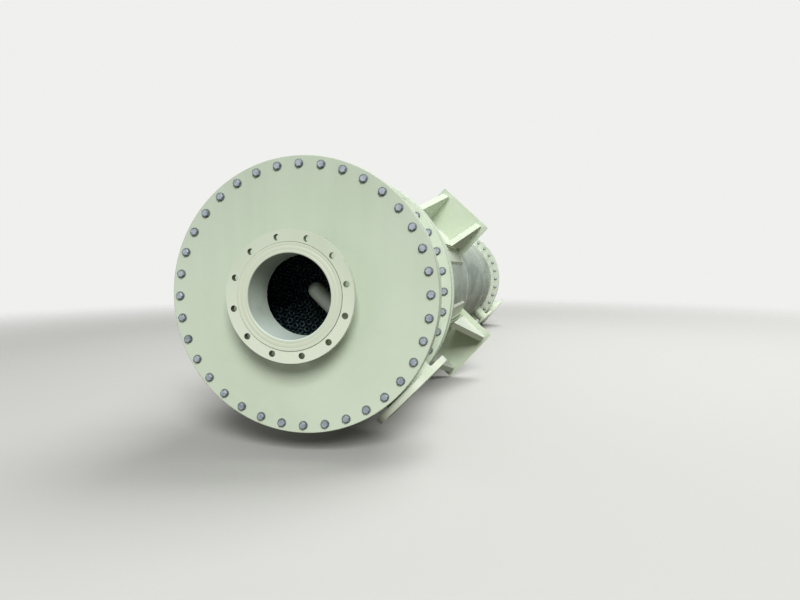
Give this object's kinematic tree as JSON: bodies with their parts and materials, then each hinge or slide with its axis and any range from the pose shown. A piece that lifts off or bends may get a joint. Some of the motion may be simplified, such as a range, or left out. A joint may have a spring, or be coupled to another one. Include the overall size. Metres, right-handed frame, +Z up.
{
  "type": "falling film absorber",
  "caption": "Graphite falling film absorber lying on its side, with a flat bolted cover and gas inlet, feed chamber, long shell, support brackets and a dished bottom head with outlets.",
  "frame": {"origin": "middle of the footprint, on the floor that the absorber lies on", "axes": "+Y along the absorber from its top cover to its bottom outlet, leaning down by the angle at which it lies, +Z up"},
  "size_m": [1.1212, 5.163, 1.0997],
  "materials": {
    "body_paint": "satin sage paint",
    "nozzle_paint": "satin pale sage paint",
    "shell_paint": "matt grey primer, brushed on",
    "liner": "smooth pale lining",
    "feed_pipe": "smooth grey",
    "graphite": "dark resin-impregnated graphite",
    "gasket": "matt"
  },
  "bodies": {
    "root": {"top_cover": "body_paint", "gas_inlet_neck": "body_paint", "gas_inlet_flange": "nozzle_paint", "gas_inlet_liner": "liner", "cover_gasket": "gasket", "chamber_top_flange": "body_paint", "chamber_bottom_flange": "body_paint", "absorbent_inlet_neck": "body_paint", "absorbent_inlet_flange": "nozzle_paint", "chamber_shell": "body_paint", "feed_pipe": "feed_pipe", "top_sheet_gasket": "gasket", "top_tube_sheet": "graphite", "shell_top_gasket": "gasket", "tube_weirs": "graphite", "shell_top_flange": "body_paint", "shell_bottom_flange": "body_paint", "water_inlet_neck": "body_paint", "water_inlet_flange": "nozzle_paint", "water_outlet_neck": "body_paint", "water_outlet_flange": "nozzle_paint", "main_shell": "shell_paint", "shell_bottom_gasket": "gasket", "bottom_tube_sheet": "graphite", "bottom_sheet_gasket": "gasket", "bottom_section_flange": "body_paint", "tail_gas_outlet_neck": "body_paint", "tail_gas_outlet_flange": "nozzle_paint", "vent_neck": "body_paint", "vent_flange": "nozzle_paint", "bottom_section_shell": "body_paint", "dished_head": "body_paint", "acid_outlet_neck": "body_paint", "acid_outlet_flange": "nozzle_paint", "bracket_plate_1": "body_paint", "bracket_gussets_1": "body_paint", "bracket_plate_2": "body_paint", "bracket_gussets_2": "body_paint", "bracket_plate_3": "body_paint", "bracket_gussets_3": "body_paint", "bracket_plate_4": "body_paint", "bracket_gussets_4": "body_paint", "bracket_pads": "body_paint"}
  },
  "joints": []
}
